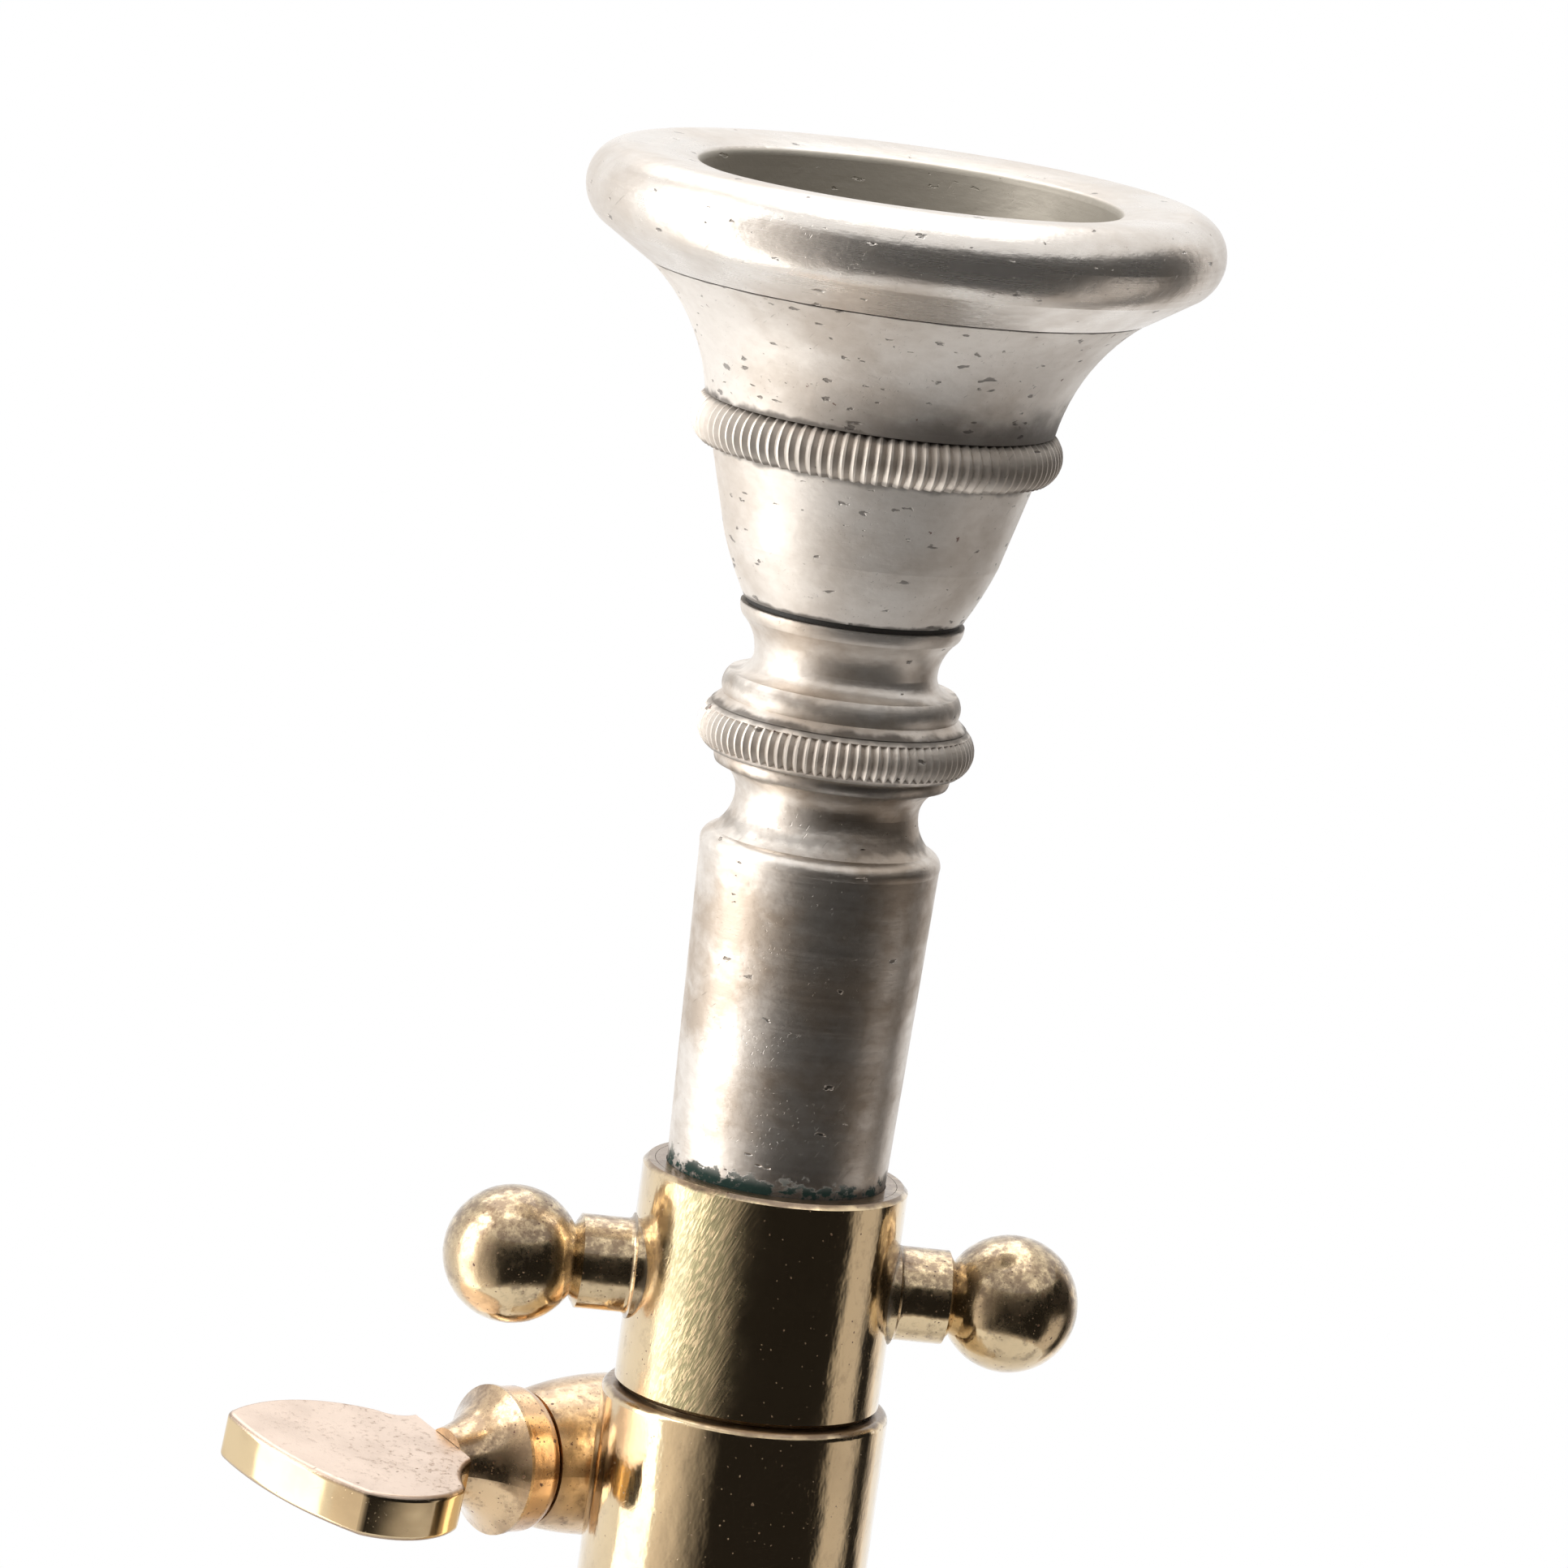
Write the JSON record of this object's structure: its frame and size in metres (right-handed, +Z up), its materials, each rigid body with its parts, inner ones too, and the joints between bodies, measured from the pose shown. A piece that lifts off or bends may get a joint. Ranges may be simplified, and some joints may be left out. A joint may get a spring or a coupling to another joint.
{
  "type": "brass instrument mouthpiece and tuning receiver",
  "caption": "Flared brass-instrument mouthpiece with milled rings, seated in a tuning mouthpipe with ball pull knobs that slides in a split receiver locked by a thumbscrew.",
  "frame": {"origin": "on the air column's axis at the mouth of the leadpipe socket", "axes": "+Z up the air column to the rim; the player's view of the picture looks along +Y, with the left pull knob on -X"},
  "size_m": [0.036, 0.0274, 0.0935],
  "materials": {
    "worn_silver": "worn satin silver plate with fine scratches, pits and dark grime in the grooves",
    "polished_brass": "polished lacquered brass with small tarnish spots",
    "tarnished_brass": "brass speckled with tarnish",
    "satin_brass": "satin brass, rubbed by the thumb, with specks",
    "dark_packing": "dark greasy packing"
  },
  "bodies": {
    "receiver": {"receiver_sleeve": "polished_brass", "socket_ferrule": "polished_brass", "screw_lug": "tarnished_brass", "nut_lug": "tarnished_brass"},
    "mouthpipe": {"mouthpipe_tube": "polished_brass", "mouthpipe_collar": "polished_brass", "pull_knob_left": "polished_brass", "pull_knob_right": "polished_brass"},
    "mouthpiece": {"mouthpiece_shank": "worn_silver", "mouthpiece_stem": "worn_silver", "stem_milled_ring": "worn_silver"},
    "washer": {"joint_washer": "dark_packing"},
    "cup": {"mouthpiece_cup": "worn_silver", "cup_milled_ring": "worn_silver", "mouthpiece_rim": "worn_silver"},
    "thrust": {"thrust_collar": "tarnished_brass"},
    "thumbscrew": {"screw_spindle": "tarnished_brass", "thumbscrew_bell": "polished_brass", "thumbscrew_wing": "satin_brass"}
  },
  "joints": [
    {"name": "tuning_slide", "type": "slide", "parent": "receiver", "child": "mouthpipe", "axis": [0, 0, 1], "range_m": [0, 0.012]},
    {"name": "mouthpiece_pull", "type": "slide", "parent": "mouthpipe", "child": "mouthpiece", "axis": [0, 0, 1], "range_m": [0, 0.026]},
    {"name": "cup_lift", "type": "slide", "parent": "mouthpiece", "child": "washer", "axis": [0, 0, 1], "range_m": [0, 0.0025]},
    {"name": "cup_turn", "type": "hinge", "parent": "washer", "child": "cup", "pos_m": [0, 0, 0.0775], "axis": [0, 0, 1], "range_deg": [0, 1800]},
    {"name": "clamp_advance", "type": "slide", "parent": "receiver", "child": "thrust", "axis": [-0.7986, -0.6018, 0], "range_m": [0, 0.0025]},
    {"name": "clamp_turn", "type": "hinge", "parent": "thrust", "child": "thumbscrew", "pos_m": [-0.00481, 0.00639, 0.03505], "axis": [-0.7986, -0.6018, 0], "range_deg": [0, 1800]}
  ],
  "couplings": [
    {"joint": "cup_lift", "follows": "cup_turn", "m_per_rad": 0.000079577},
    {"joint": "clamp_turn", "follows": "clamp_advance", "rad_per_m": 12566}
  ]
}
